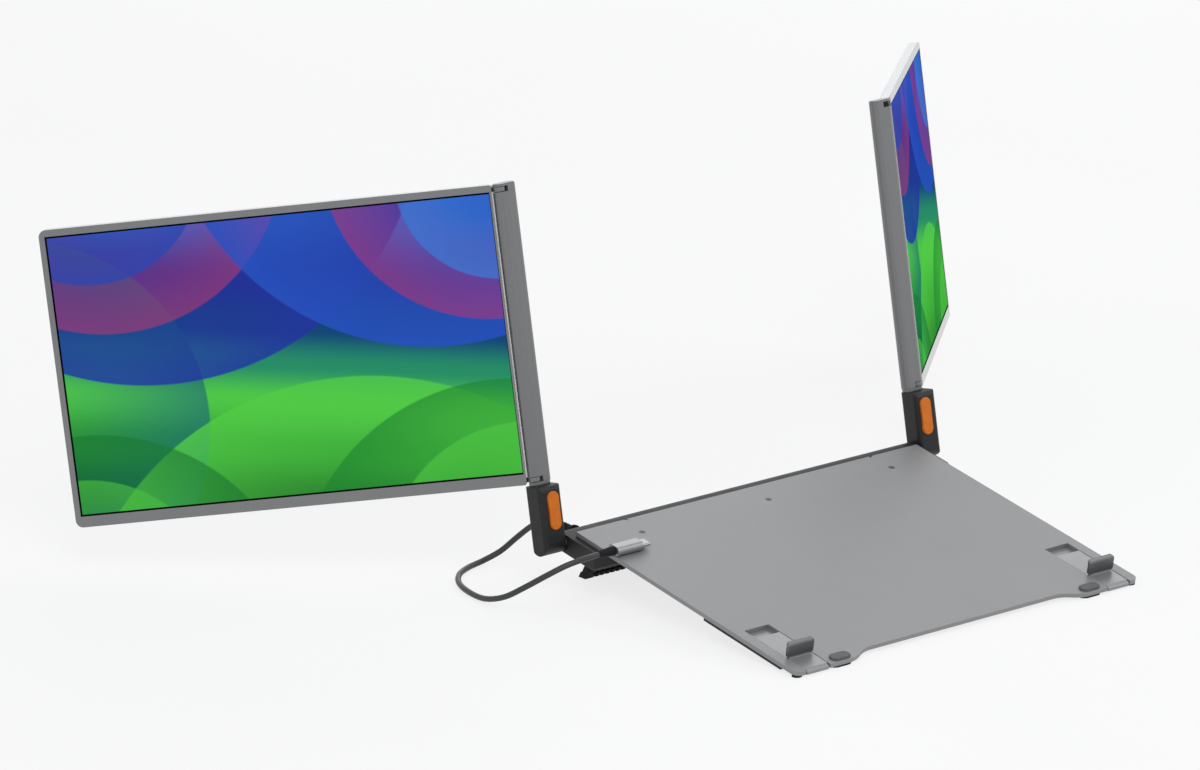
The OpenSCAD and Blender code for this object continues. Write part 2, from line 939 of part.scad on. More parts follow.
module column_part() {
    in_tilt()
        difference() {
            translate([0, 0, column_z])
                linear_extrude(cap_z - column_z)
                    column_2d();
            translate([0, 0, column_z - 1])
                linear_extrude(cap_z - column_z + 2)
                    column_2d(column_wall);
            block([notch_x, column_y - 1, column_z - 1], [notch_x + 20, column_y + 20, column_z + notch_h]);
        }
}

// cap on the column, with the notch that shows the swing pin
module cap_part() {
    in_tilt()
        difference() {
            union() {
                translate([0, 0, cap_z])
                    linear_extrude(column_top - cap_z - 0.6)
                        column_2d();
                translate([0, 0, column_top - 0.7])
                    linear_extrude(0.7)
                        column_2d(0.6);
                block([column_x + column_r, column_y + column_wall + fit, cap_z - 5],
                    [notch_x - 0.6, column_y + column_t - column_wall - fit, cap_z + 1]);
            }
            block([notch_x, column_y - 1, cap_z - 9], [notch_x + 20, column_y + 20, cap_z + notch_h]);
            translate([swing_x, swing_y, cap_z])
                cylinder(r = swing_pin_r, h = notch_h + 0.8, $fn = 24);
        }
}

// foot of the column: a tongue with a keyhole, the collar and a plug inside the column
module foot_part() {
    in_tilt()
        difference() {
            union() {
                block([button_x - tongue_w / 2, tongue_y, tongue_z],
                    [button_x + tongue_w / 2, tongue_y + tongue_t, column_z]);
                translate([0, 0, collar_z])
                    linear_extrude(column_z - collar_z)
                        column_2d(0.4);
                block([column_x + column_r, column_y + column_wall + fit, column_z - 1],
                    [notch_x - 0.6, column_y + column_t - column_wall - fit, column_z + 12]);
            }
            translate([button_x, 0, button_z])
                rotate([-90, 0, 0])
                    cylinder(r = latch_r + 0.1, h = 9);
            block([button_x - neck_r - 0.2, 0, 0], [button_x + neck_r + 0.2, 9, button_z]);
            translate([swing_x, swing_y, column_z - 1.2])
                cylinder(r = swing_pin_r, h = 3, $fn = 24);
        }
}

// steel pins of the swing axis, one at each end of the column
module swing_pins_part() {
    in_tilt()
        translate([swing_x, swing_y, 0]) {
            translate([0, 0, column_z - 1.2])
                cylinder(r = swing_pin_r, h = 18, $fn = 24);
            translate([0, 0, cap_z - 14])
                cylinder(r = swing_pin_r, h = 14 + notch_h + 0.8, $fn = 24);
        }
}

module barrels_part() {
    in_tilt()
        translate([swing_x, swing_y, 0])
            for (z = [column_z + notch_h + 0.4, cap_z - 13])
                translate([0, 0, z])
                    difference() {
                        cylinder(r = round_r - column_wall - fit, h = 12);
                        translate([0, 0, -1])
                            cylinder(r = swing_pin_r, h = 20, $fn = 24);
                    }
}

// an outline on the screen's face, from its distance to the swing axis and its height
module on_face(y) {
    translate([0, y, 0])
        rotate([90, 0, 0])
            mirror([0, 0, 1])
                children();
}

// screen outline, nearly square at the hinge and round at the outer corners
module screen_2d(d = 0) {
    w = screen_w - 2 * d;
    h = screen_h - 2 * d;
    translate([screen_x + d, screen_z + d]) {
        plate_2d(w / 2, h, max(hinge_r - d, 0.2));
        translate([w / 2 - screen_r, 0])
            plate_2d(w / 2 + screen_r, h, screen_r - d);
        translate([w / 4, 0])
            square([w / 2, h]);
    }
}

module glass_2d(d = 0) {
    translate([picture_x - border_hinge - d, picture_z - border - d])
        square([picture_w + border_hinge + border + 2 * d, picture_h + 2 * border + 2 * d]);
}

// tray behind the panel: skin, ribs, blocks for the hinge arms
module cover_part() {
    in_swing()
        difference() {
            union() {
                difference() {
                    union() {
                        on_face(-half_t + front_t)
                            linear_extrude(screen_t - front_t - back_step)
                                screen_2d();
                        on_face(half_t - back_step - 0.01)
                            linear_extrude(back_step + 0.01)
                                screen_2d(back_step);
                    }
                    on_face(-half_t)
                        linear_extrude(back_y + half_t)
                            screen_2d(skin);
                }
                for (x = [0.25, 0.5, 0.75])
                    block([screen_x + screen_w * x - 0.7, board_y, screen_z + 1],
                        [screen_x + screen_w * x + 0.7, half_t - 1.1, column_top - 1]);
                for (z = [0.3, 0.7])
                    block([screen_x + 1, board_y, screen_z + screen_h * z - 0.7],
                        [screen_x + screen_w - 1, half_t - 1.1, screen_z + screen_h * z + 0.7]);
                for (z = [column_z, cap_z])
                    block([screen_x + 2, 1.2, z - 0.2], [screen_x + arm_len + 2, half_t - 1.1, z + 3.9]);
            }
            for (z = [column_z, cap_z])
                block([screen_x - 1, -1.25, z + 0.3], [screen_x + 2, 1.25, z + notch_h - 0.3]);
            block([screen_x + driver_x - 4, board_y - 1, screen_z + driver_z - 6],
                [screen_x + driver_x + driver_w + 4, back_y, screen_z + driver_z + driver_h + 4]);
            for (x = [-44 : 4 : 44])
                block([screen_x + screen_w / 2 + x - 0.8, back_y - 1, screen_z + 14],
                    [screen_x + screen_w / 2 + x + 0.8, half_t + 1, screen_z + 22]);
        }
}

module frame_part() {
    in_swing()
        difference() {
            on_face(-half_t)
                linear_extrude(front_t)
                    screen_2d();
            on_face(-half_t - 1)
                linear_extrude(front_t + 2)
                    glass_2d(0.05);
        }
}

module display_part() {
    in_swing()
        on_face(glass_y)
            linear_extrude(glass_t)
                glass_2d();
}

module light_guide_part() {
    in_swing()
        on_face(guide_y)
            linear_extrude(guide_t)
                translate([screen_x + skin + 0.1, picture_z - 0.8])
                    square([screen_w - 2 * skin - 0.2, picture_h + 1.4]);
}

module driver_part() {
    in_swing() {
        difference() {
            block([screen_x + driver_x, board_y, screen_z + driver_z],
                [screen_x + driver_x + driver_w, board_y + 0.8, screen_z + driver_z + driver_h]);
            for (x = [driver_x + 4, driver_x + driver_w - 4], z = [driver_z + 4, driver_z + driver_h - 4])
                translate([screen_x + x, 0, screen_z + z])
                    rotate([-90, 0, 0])
                        cylinder(r = 1.2, h = 9, $fn = 20);
        }
        for (x = [driver_x + 18, driver_x + 42, driver_x + driver_w - 30])
            block([screen_x + x, board_y + 0.7, screen_z + driver_z + 8],
                [screen_x + x + 12, board_y + 1.9, screen_z + driver_z + driver_h - 10]);
    }
}

// arms that carry the screen, with a knuckle about each swing pin
module arms_part() {
    in_swing()
        for (z = [column_z, cap_z])
            translate([0, 0, z + (notch_h - arm_h) / 2])
                difference() {
                    union() {
                        cylinder(r = 3.2, h = arm_h);
                        block([0, -1.2, 0], [screen_x + arm_len, 1.2, arm_h]);
                    }
                    translate([0, 0, -1])
                        cylinder(r = swing_pin_r + fit, h = 9, $fn = 24);
                }
}

base_plate();
top_pads();
front_feet();
slide_guides();
guide_screws();
rear_beam();
beam_cover();
plate_screws();
cover_screws();
hub_board();
tilt_pins();
tilt_washers();
leg_pins();
cable_gland();
usb_cord();
strain_relief();
plug_shell();
plug_tip();
kick_leg();
kick_rubber();
color("#8e8e90") side(-1) lip_part();  // left_lip
color("#2b2b2b") side(-1) lip_pad_part();  // left_lip_pad
color("#8e8e90") side(1) lip_part();  // right_lip
color("#2b2b2b") side(1) lip_pad_part();  // right_lip_pad
color("#3a3a3c") side(-1) housing_part();  // left_housing
color("#757575") side(-1) column_part();  // left_column
color("#2b2b2b") side(-1) cap_part();  // left_cap
color("#606062") side(-1) foot_part();  // left_foot
color("silver") side(-1) swing_pins_part();  // left_swing_pins
color("gray") side(-1) barrels_part();  // left_barrels
color("#d76e1e") side(-1) button_part();  // left_button
color("silver") side(-1) latch_part();  // left_latch
color("#3a3a3c") side(1) housing_part();  // right_housing
color("#757575") side(1) column_part();  // right_column
color("#2b2b2b") side(1) cap_part();  // right_cap
color("#606062") side(1) foot_part();  // right_foot
color("silver") side(1) swing_pins_part();  // right_swing_pins
color("gray") side(1) barrels_part();  // right_barrels
color("#d76e1e") side(1) button_part();  // right_button
color("silver") side(1) latch_part();  // right_latch
color("#b4b4b6") side(-1) cover_part();  // left_cover
color("#767676") side(-1) frame_part();  // left_frame
color("#2040a0") side(-1) display_part();  // left_display
color("white") side(-1) light_guide_part();  // left_light_guide
color("darkgreen") side(-1) driver_part();  // left_driver
color("gray") side(-1) arms_part();  // left_arms
color("#b4b4b6") side(1) cover_part();  // right_cover
color("#767676") side(1) frame_part();  // right_frame
color("#2040a0") side(1) display_part();  // right_display
color("white") side(1) light_guide_part();  // right_light_guide
color("darkgreen") side(1) driver_part();  // right_driver
color("gray") side(1) arms_part();  // right_arms
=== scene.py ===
"""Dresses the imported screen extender: the cord, the lit pictures, surfaces and small trim."""

import math

import bmesh
import bpy
from mathutils import Matrix, Vector


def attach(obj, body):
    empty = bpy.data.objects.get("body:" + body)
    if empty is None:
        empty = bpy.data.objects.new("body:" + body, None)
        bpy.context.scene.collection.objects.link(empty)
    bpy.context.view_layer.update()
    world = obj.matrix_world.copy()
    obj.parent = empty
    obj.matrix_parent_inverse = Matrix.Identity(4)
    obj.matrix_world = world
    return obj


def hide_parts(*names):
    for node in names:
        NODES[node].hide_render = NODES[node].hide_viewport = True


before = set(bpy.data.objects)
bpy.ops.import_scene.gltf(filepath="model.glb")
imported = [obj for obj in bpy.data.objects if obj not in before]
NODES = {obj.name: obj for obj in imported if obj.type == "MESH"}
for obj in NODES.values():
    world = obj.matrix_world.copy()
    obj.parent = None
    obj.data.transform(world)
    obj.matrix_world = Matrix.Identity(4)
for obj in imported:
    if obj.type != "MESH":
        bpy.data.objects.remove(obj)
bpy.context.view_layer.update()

MM = 0.001
SIDES = {"left": -1, "right": 1}

# ---------------------------------------------------------------- camera at the photo's angle

camera = bpy.data.objects.new("camera", bpy.data.cameras.new("camera"))
bpy.context.scene.collection.objects.link(camera)
camera.location = (-3.19661, -3.8282, 1.68155)
camera.rotation_euler = (math.radians(72.4845), math.radians(0.0121), math.radians(-38.8872))
camera.data.lens = 231.03
camera.data.sensor_width = 36
camera.data.clip_start = 0.5
camera.data.clip_end = 60
bpy.context.scene.camera = camera

# ---------------------------------------------------------------- the part's frames, in metres

PLATE_TILT = math.radians(9.2)
COLUMN_LEAN = math.radians(20)
SWING_BACK = math.radians(45.5)
MID_Y = 232.12 * MM
PLATE_Z = 7.7968 * MM
PIVOT = Vector((0, 217, -9.5)) * MM             # of the columns' tilt, in the plate's frame
SWING_AXIS = Vector((168.95, 4.25, 0)) * MM     # from the tilt pivot, in the column's frame


def turn(angle, axis):
    return Matrix.Rotation(angle, 4, axis)


plate = Matrix.Translation((0, -MID_Y, PLATE_Z)) @ turn(PLATE_TILT, "X")
tilt = plate @ Matrix.Translation(PIVOT) @ turn(-COLUMN_LEAN, "X")


def screen_frame(side):
    """Frame of a screen: X to the viewer's right, Z up the column, origin on its swing axis."""
    axis = Vector((side * SWING_AXIS.x, SWING_AXIS.y, 0))
    return tilt @ Matrix.Translation(axis) @ turn(side * SWING_BACK, "Z")


def add(name, mesh, material, body):
    """A new piece with its material, riding on a body."""
    piece = bpy.data.objects.new(name, mesh)
    bpy.context.scene.collection.objects.link(piece)
    piece.data.materials.append(material)
    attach(piece, body)
    return piece


# ---------------------------------------------------------------- node materials

EDGE_SOFT = 0.3 * MM
EDGE_SAMPLES = 6
# tone and facings of lightened edges: part edge wear, part painted highlight where rounded edges
# catch light
EDGE_WEAR_AND_HIGHLIGHT_TONE = (0.62, 0.62, 0.62)
EDGE_WEAR_AND_HIGHLIGHT_FROM, EDGE_WEAR_AND_HIGHLIGHT_TO = 0.8, 0.97
NOISE_ROUGHNESS = 0.55
CLOUD_SHARE, GRAIN_SHARE = 0.6, 0.4
GLOSS_UP, GLOSS_DOWN = 0.06, 0.08
COAT_ROUGHNESS = 0.18


class Shader:
    """A material's node tree with short calls for the nodes that the surfaces need."""

    def __init__(self, name):
        self.material = bpy.data.materials.new(name)
        self.material.use_nodes = True
        self.tree = self.material.node_tree
        self.base = self.tree.nodes["Principled BSDF"]
        self.object_space = self.node("ShaderNodeTexCoord").outputs["Object"]

    def node(self, kind, **values):
        made = self.tree.nodes.new(kind)
        for key, value in values.items():
            setattr(made, key, value)
        return made

    def link(self, source, target):
        self.tree.links.new(source, target)

    def feed(self, socket, value):
        """Links another node's output to the socket, or sets its constant."""
        if isinstance(value, bpy.types.NodeSocket):
            self.link(value, socket)
        else:
            socket.default_value = value

    def math(self, operation, *values):
        made = self.node("ShaderNodeMath", operation=operation)
        for socket, value in zip(made.inputs, values):
            self.feed(socket, value)
        return made.outputs[0]

    def place(self, scale=(1, 1, 1), location=(0, 0, 0), rotation=(0, 0, 0)):
        """Object space as seen from a frame with this place, turn and scale."""
        made = self.node("ShaderNodeMapping", vector_type="TEXTURE")
        self.link(self.object_space, made.inputs["Vector"])
        made.inputs["Location"].default_value = location
        made.inputs["Rotation"].default_value = rotation
        made.inputs["Scale"].default_value = scale
        return made.outputs[0]

    def noise(self, size, detail=3, vector=None):
        """Noise whose features are about size metres across."""
        made = self.node("ShaderNodeTexNoise")
        self.link(vector or self.object_space, made.inputs["Vector"])
        made.inputs["Scale"].default_value = 1 / size
        made.inputs["Detail"].default_value = detail
        made.inputs["Roughness"].default_value = NOISE_ROUGHNESS
        return made.outputs["Fac"]

    def spread(self, value, low, high, start=0.3, end=0.7):
        """The value's stretch from start to end, laid on low to high."""
        made = self.node("ShaderNodeMapRange")
        self.link(value, made.inputs["Value"])
        for key, number in (("From Min", start), ("From Max", end),
                            ("To Min", low), ("To Max", high)):
            made.inputs[key].default_value = number
        return made.outputs[0]

    def ramp(self, value, stops):
        """Colours eased between stops of a position and a colour."""
        made = self.node("ShaderNodeValToRGB")
        self.link(value, made.inputs[0])
        made.color_ramp.interpolation = "EASE"
        points = made.color_ramp.elements
        while len(points) < len(stops):
            points.new(0.5)
        for point, (position, colour) in zip(points, stops):
            point.position = position
            point.color = (*colour, 1)
        return made.outputs[0]

    def mix(self, share, a, b):
        """Colour a where the share is 0 and colour b where it is 1."""
        made = self.node("ShaderNodeMix", data_type="RGBA")
        self.feed(made.inputs[0], share)
        for socket, value in ((made.inputs[6], a), (made.inputs[7], b)):
            self.feed(socket, value if isinstance(value, bpy.types.NodeSocket) else (*value, 1))
        return made.outputs[2]

    def rounding(self, soft):
        """The surface's normal, turned near an edge as if it were rounded by the soft radius."""
        made = self.node("ShaderNodeBevel", samples=EDGE_SAMPLES)
        made.inputs["Radius"].default_value = soft
        return made.outputs[0]

    def lighten_edges_wear_and_highlight(self, rounded, colour, share):
        """The colour, lightened by the share where the rounded normal leaves the face's own: part
        edge wear, part painted highlight on the edges.
        """
        facing = self.node("ShaderNodeVectorMath", operation="DOT_PRODUCT")
        self.link(rounded, facing.inputs[0])
        self.link(self.node("ShaderNodeNewGeometry").outputs["True Normal"], facing.inputs[1])
        edge = self.spread(facing.outputs["Value"], share, 0, EDGE_WEAR_AND_HIGHLIGHT_FROM, EDGE_WEAR_AND_HIGHLIGHT_TO)
        return self.mix(edge, colour, EDGE_WEAR_AND_HIGHLIGHT_TONE)

    def bump(self, height, distance, rounded):
        """Relief of the surface, over a rounded normal."""
        made = self.node("ShaderNodeBump")
        made.inputs["Distance"].default_value = distance
        self.link(rounded, made.inputs["Normal"])
        self.link(height, made.inputs["Height"])
        self.link(made.outputs[0], self.base.inputs["Normal"])


def shade(colour, factor):
    """The colour, lighter or darker by a factor."""
    return tuple(min(1, c * factor) for c in colour)


def coated(name, colour, metallic=0.0, roughness=0.45, grain=0.5 * MM, depth=0.02 * MM,
           cloud=30 * MM, contrast=0.08, specular=0.5, coat=0.0, soft=EDGE_SOFT, edge_wear_and_highlight_share=0.0):
    """A coated or moulded surface: soft clouds in colour and gloss, fine grain in the bump."""
    s = Shader(name)
    rounded = s.rounding(soft)
    clouds = s.noise(cloud, detail=4)
    grains = s.noise(grain, detail=2)
    tone = s.ramp(clouds, [(0.3, shade(colour, 1 - contrast)), (0.7, shade(colour, 1 + contrast))])
    # edges lightened by the share: part wear, part painted highlight
    s.link(s.lighten_edges_wear_and_highlight(rounded, tone, edge_wear_and_highlight_share) if edge_wear_and_highlight_share else tone, s.base.inputs["Base Color"])
    both = s.math("ADD", s.math("MULTIPLY", clouds, CLOUD_SHARE),
                  s.math("MULTIPLY", grains, GRAIN_SHARE))
    s.link(s.spread(both, roughness - GLOSS_UP, roughness + GLOSS_DOWN),
           s.base.inputs["Roughness"])
    s.base.inputs["Metallic"].default_value = metallic
    s.base.inputs["Specular IOR Level"].default_value = specular
    s.base.inputs["Coat Weight"].default_value = coat
    s.base.inputs["Coat Roughness"].default_value = COAT_ROUGHNESS
    s.bump(grains, depth, rounded)
    return s.material


STREAK_LENGTH = 0.35
STREAK_STRETCH = 120
STREAK_CONTRAST = 0.03
METAL_CLOUD = 25 * MM
METAL_COAT_ROUGHNESS = 0.16


def brushed(name, colour, rotation, roughness, metallic, depth, coat):
    """Brushed metal: streaks along the local Z of a rotated space."""
    s = Shader(name)
    across = s.place(scale=(1 / STREAK_STRETCH, 1 / STREAK_STRETCH, 1), rotation=rotation)
    streaks = s.noise(STREAK_LENGTH, detail=4, vector=across)
    clouds = s.noise(METAL_CLOUD, detail=3)
    tone = s.ramp(streaks, [(0.3, shade(colour, 1 - STREAK_CONTRAST)),
                            (0.7, shade(colour, 1 + STREAK_CONTRAST))])
    s.link(tone, s.base.inputs["Base Color"])
    s.link(s.spread(clouds, roughness - 0.03, roughness + 0.06), s.base.inputs["Roughness"])
    s.base.inputs["Metallic"].default_value = metallic
    s.base.inputs["Coat Weight"].default_value = coat
    s.base.inputs["Coat Roughness"].default_value = METAL_COAT_ROUGHNESS
    s.bump(streaks, depth, s.rounding(EDGE_SOFT))
    return s.material


GREY_COAT = (0.27, 0.27, 0.272)
COLUMN_TURN = (PLATE_TILT - COLUMN_LEAN, 0, 0)

# the plate's and the housing plastic's lightened edges are part wear, part painted highlight
plate_coat = coated("plate_coat", GREY_COAT, metallic=0.35, roughness=0.5, grain=0.35 * MM,
                    depth=0.012 * MM, cloud=60 * MM, contrast=0.04, soft=0.5 * MM, edge_wear_and_highlight_share=0.4)
leg_coat = coated("leg_coat", (0.045, 0.045, 0.047), metallic=0.3, roughness=0.42, grain=0.3 * MM,
                  depth=0.01 * MM, contrast=0.05)
dark_plastic = coated("dark_plastic", (0.011, 0.011, 0.012), roughness=0.46, grain=0.25 * MM,
                      depth=0.025 * MM, cloud=14 * MM, contrast=0.12, specular=0.3, soft=0.9 * MM,
                      edge_wear_and_highlight_share=0.02)
beam_plastic = coated("beam_plastic", (0.016, 0.016, 0.017), roughness=0.5, grain=0.25 * MM,
                      depth=0.025 * MM, cloud=20 * MM, contrast=0.1, specular=0.3)
black_rubber = coated("black_rubber", (0.008, 0.008, 0.009), roughness=0.72, grain=0.3 * MM,
                      depth=0.04 * MM, cloud=8 * MM, contrast=0.14, specular=0.2)
grey_rubber = coated("grey_rubber", (0.12, 0.12, 0.124), roughness=0.66, grain=0.3 * MM,
                     depth=0.03 * MM, cloud=6 * MM, contrast=0.08, specular=0.35)
orange_plastic = coated("orange_plastic", (0.66, 0.165, 0.010), roughness=0.42, grain=0.22 * MM,
                        depth=0.02 * MM, cloud=7 * MM, contrast=0.08, specular=0.25, soft=0.6 * MM)
cord_jacket = coated("cord_jacket", (0.028, 0.028, 0.030), roughness=0.42, grain=0.2 * MM,
                     depth=0.012 * MM, cloud=10 * MM, contrast=0.1)
plug_alloy = coated("plug_alloy", (0.30, 0.30, 0.305), metallic=0.8, roughness=0.34,
                    grain=0.15 * MM, depth=0.01 * MM, cloud=8 * MM, contrast=0.05)
steel = coated("steel", (0.36, 0.36, 0.37), metallic=0.95, roughness=0.36, grain=0.2 * MM,
               depth=0.006 * MM, cloud=6 * MM, contrast=0.08)
grey_steel = coated("grey_steel", (0.12, 0.12, 0.122), metallic=0.8, roughness=0.42,
                    grain=0.2 * MM, depth=0.008 * MM, cloud=5 * MM, contrast=0.1)
black_steel = coated("black_steel", (0.012, 0.012, 0.013), metallic=0.5, roughness=0.4,
                     grain=0.2 * MM, depth=0.008 * MM, cloud=5 * MM, contrast=0.15, specular=0.3)
cover_alloy = coated("cover_alloy", (0.66, 0.66, 0.665), metallic=0.3, roughness=0.36,
                     grain=0.12 * MM, depth=0.006 * MM, cloud=50 * MM, contrast=0.03, coat=0.6)
bezel_alloy = coated("bezel_alloy", (0.168, 0.168, 0.172), metallic=0.2, roughness=0.4,
                     grain=0.12 * MM, depth=0.004 * MM, cloud=50 * MM, contrast=0.03, coat=1.0,
                     soft=0.12 * MM)
board_green = coated("board_green", (0.015, 0.11, 0.05), roughness=0.3, grain=1.5 * MM,
                     depth=0.05 * MM, cloud=5 * MM, contrast=0.2)
guide_white = coated("guide_white", (0.8, 0.8, 0.81), roughness=0.4, cloud=30 * MM, contrast=0.03)
column_alloy = brushed("column_alloy", (0.155, 0.155, 0.158), COLUMN_TURN, roughness=0.42,
                       metallic=0.5, depth=0.004 * MM, coat=0.8)


# shares of the plate's colour up a lip, as painted shade down the wall and a painted highlight at
# the rounded top: place between the tray and the fade's end, share
LIP_PAINTED_SHADE_AND_HIGHLIGHT = ((0.0, 1.0), (0.04, 0.9), (0.12, 0.26), (0.62, 0.42), (0.92, 0.66))
LIP_FADE = 12 * MM
LIP_SOFT = 0.5 * MM
LIP_EDGE_WEAR_AND_HIGHLIGHT = 0.35
LIP_CLOUD = 18 * MM
LIP_GRAIN = 0.3 * MM


def lip_material():
    """Coat of a lip: as the plate at the tray, darker up the wall as painted shade, lighter on its
    rounded top as a painted highlight.
    """
    s = Shader("lip_coat_painted_shade_and_highlight")
    origin = plate @ Vector((0, 0, 0))
    height = s.node("ShaderNodeSeparateXYZ")
    s.link(s.place(location=origin, rotation=(PLATE_TILT, 0, 0)), height.inputs[0])
    up = s.spread(height.outputs[2], 0, 1, 0, LIP_FADE)
    # painted shade up the wall and a painted highlight at the top, by height above the plate
    tone = s.ramp(up, [(at, shade(GREY_COAT, share)) for at, share in LIP_PAINTED_SHADE_AND_HIGHLIGHT])
    clouds = s.noise(LIP_CLOUD, detail=4)
    tone = s.mix(s.spread(clouds, 0.0, 0.08), tone, shade(GREY_COAT, 1.4))
    rounded = s.rounding(LIP_SOFT)
    # edges lightened: part wear, part painted highlight
    s.link(s.lighten_edges_wear_and_highlight(rounded, tone, LIP_EDGE_WEAR_AND_HIGHLIGHT), s.base.inputs["Base Color"])
    s.link(s.spread(clouds, 0.34, 0.42), s.base.inputs["Roughness"])
    s.base.inputs["Metallic"].default_value = 0.4
    s.bump(s.noise(LIP_GRAIN, detail=2), 0.01 * MM, rounded)
    return s.material


lip_coat_painted_shade_and_highlight = lip_material()

# ---------------------------------------------------------------- the lit pictures

PICTURE_X = 6.55 * MM
PICTURE_Z = 50.6 * MM
PICTURE_W = 300.5 * MM
PICTURE_H = 188.5 * MM
SLANT = 0.22
ARC_EDGE = 0.006

# tones of the picture from its bottom to its top: height, tint
TONES = (
    (0.0, (0.008, 0.120, 0.020)),
    (0.16, (0.025, 0.300, 0.030)),
    (0.34, (0.075, 0.560, 0.060)),
    (0.47, (0.020, 0.260, 0.130)),
    (0.60, (0.006, 0.060, 0.180)),
    (0.76, (0.014, 0.030, 0.260)),
    (1.0, (0.030, 0.130, 0.560)),
)

# arcs of the picture: middle, radius, how far the tint fades inwards, tint and its strength
FANS = (
    (-0.10, 0.34, 0.66, 0.56, (0.008, 0.120, 0.160), 0.70),
    (0.24, 1.46, 1.02, 0.60, (0.016, 0.034, 0.330), 0.90),
    (0.14, 1.30, 0.66, 0.40, (0.300, 0.040, 0.150), 0.62),
    (0.10, 1.24, 0.42, 0.30, (0.020, 0.060, 0.420), 0.80),
    (0.88, 1.40, 0.92, 0.56, (0.020, 0.080, 0.500), 0.90),
    (1.00, 1.14, 0.58, 0.36, (0.280, 0.036, 0.170), 0.66),
    (1.02, 1.06, 0.36, 0.30, (0.040, 0.180, 0.640), 0.75),
    (0.62, -0.70, 1.10, 0.60, (0.085, 0.600, 0.060), 0.75),
    (0.96, -0.46, 0.80, 0.42, (0.012, 0.230, 0.030), 0.70),
    (1.00, -0.34, 0.52, 0.34, (0.080, 0.560, 0.055), 0.60),
    (0.02, -0.44, 0.72, 0.40, (0.010, 0.190, 0.030), 0.70),
    (0.00, -0.34, 0.46, 0.30, (0.070, 0.520, 0.050), 0.55),
)


def picture(side):
    """A dark panel lit by a generic picture of overlapping soft arcs, with a black rim."""
    s = Shader("picture_left" if side < 0 else "picture_right")
    low_x = PICTURE_X if side > 0 else -PICTURE_X - PICTURE_W
    at = screen_frame(side)
    corner = at @ Vector((low_x, 0, PICTURE_Z))
    spot = s.place(scale=(PICTURE_W, 1, PICTURE_H), location=corner, rotation=at.to_euler("XYZ"))
    parts = s.node("ShaderNodeSeparateXYZ")
    s.link(spot, parts.inputs[0])
    u, v = parts.outputs[0], parts.outputs[2]

    def away_from(cx, cy):
        dx = s.math("MULTIPLY", s.math("SUBTRACT", u, cx), PICTURE_W / PICTURE_H)
        dy = s.math("SUBTRACT", v, cy)
        return s.math("SQRT", s.math("ADD", s.math("MULTIPLY", dx, dx), s.math("MULTIPLY", dy, dy)))

    def within(value):
        return s.math("MULTIPLY", s.math("GREATER_THAN", value, 0.0),
                      s.math("LESS_THAN", value, 1.0))

    slope = s.math("ADD", v, s.math("MULTIPLY", s.math("SUBTRACT", u, 0.5), SLANT))
    colour = s.ramp(slope, TONES)
    for cx, cy, radius, depth, tint, share in FANS:
        away = away_from(cx, cy)
        inside = s.spread(away, share, 0, radius, radius + ARC_EDGE)
        rim = s.spread(away, 0, 1, radius - depth, radius)
        colour = s.mix(s.math("MULTIPLY", inside, rim), colour, tint)
    lit = s.math("MULTIPLY", within(u), within(v))
    s.link(s.mix(lit, (0, 0, 0), colour), s.base.inputs["Emission Color"])
    s.base.inputs["Emission Strength"].default_value = 1.0
    s.base.inputs["Base Color"].default_value = (0.002, 0.002, 0.003, 1)
    s.base.inputs["Specular IOR Level"].default_value = 0.0
    s.link(s.spread(s.noise(40 * MM), 0.1, 0.16), s.base.inputs["Roughness"])
    return s.material


# ---------------------------------------------------------------- cord, on the route of the part

CORD_D = 4 * MM
CORD_STEPS = 4
CORD_ROUNDNESS = 5
PLUG_R = 3.3 * MM
GLAND_AT = Vector((-140, 236, -9.5)) * MM
PLUG_AT = Vector((-163 * MM, 170 * MM, PLUG_R))

# points in mm: X from the part's middle, Y from the gland's or the plug's end, Z from the table
ROUTE_BACK = [(-140, 9, 37.2), (-140.5, 20, 34.5), (-143, 30.5, 28), (-148, 40, 18.5),
              (-156, 47, 9), (-168, 51, 3.6), (-182, 49, 2.4), (-196, 41, 2.4),
              (-207, 27, 2.4), (-213, 9, 2.4), (-215, -11, 3.4)]
ROUTE_FRONT = [(-213, 38, 9), (-207, 24, 18), (-198, 12, 27.5), (-187, 4, 34.5),
               (-175, 0.5, 37.4)]
gland_end = plate @ GLAND_AT
plug_end = plate @ PLUG_AT
route = [gland_end]
route += [Vector((x * MM, gland_end.y + y * MM, z * MM)) for x, y, z in ROUTE_BACK]
route += [Vector((x * MM, plug_end.y + y * MM, z * MM)) for x, y, z in ROUTE_FRONT]
route += [plug_end]


def bend(a, b, c, d, t):
    """Point at share t of the way from b to c, on a curve through all four points."""
    return 0.5 * (2 * b + (c - a) * t + (2 * a - 5 * b + 4 * c - d) * t ** 2
                  + (3 * b - a - 3 * c + d) * t ** 3)


def smooth(points, steps):
    """The points' smooth curve, the same one that the part's source draws."""
    last = len(points) - 1
    out = []
    for i in range(last):
        a, b = points[max(i - 1, 0)], points[i]
        c, d = points[i + 1], points[min(i + 2, last)]
        out += [bend(a, b, c, d, k / steps) for k in range(steps)]
    return out + [points[last]]


path = smooth(route, CORD_STEPS)
cord_curve = bpy.data.curves.new("cord", "CURVE")
cord_curve.dimensions = "3D"
cord_curve.bevel_depth = CORD_D / 2
cord_curve.bevel_resolution = CORD_ROUNDNESS
cord_curve.use_fill_caps = True
spline = cord_curve.splines.new("POLY")
spline.points.add(len(path) - 1)
for point, at in zip(spline.points, path):
    point.co = (*at, 1)
cord = add("cord", cord_curve, cord_jacket, "stand")
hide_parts("usb_cord")

# ---------------------------------------------------------------- sleeves on the hinge knuckles

